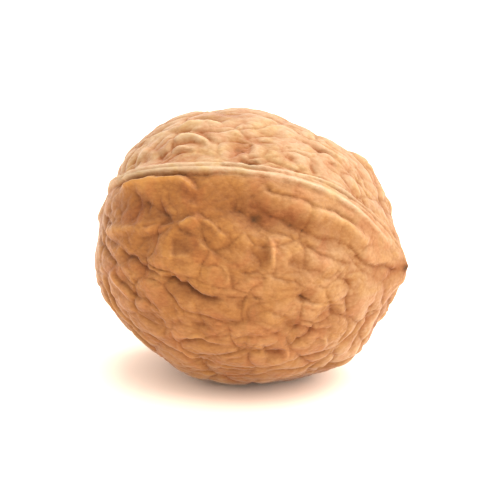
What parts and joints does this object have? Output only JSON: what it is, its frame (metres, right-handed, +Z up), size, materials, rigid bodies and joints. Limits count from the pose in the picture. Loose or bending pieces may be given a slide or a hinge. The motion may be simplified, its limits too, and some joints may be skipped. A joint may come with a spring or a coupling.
{
  "type": "walnut",
  "caption": "Whole walnut in its woody shell, wrinkled and pitted, with a raised suture line round it and a pointed tip, lying on a small flat spot.",
  "frame": {"origin": "on the surface that the nut rests on, under the middle of its bounding box", "axes": "+X along the nut's long axis towards its pointed tip, +Z up"},
  "size_m": [0.0412, 0.0352, 0.035],
  "materials": {
    "walnut_shell": "matt to satin dry woody shell, pale tan on the raised parts and brown in the furrows and pits"
  },
  "bodies": {
    "root": {"walnut": "walnut_shell"}
  },
  "joints": []
}
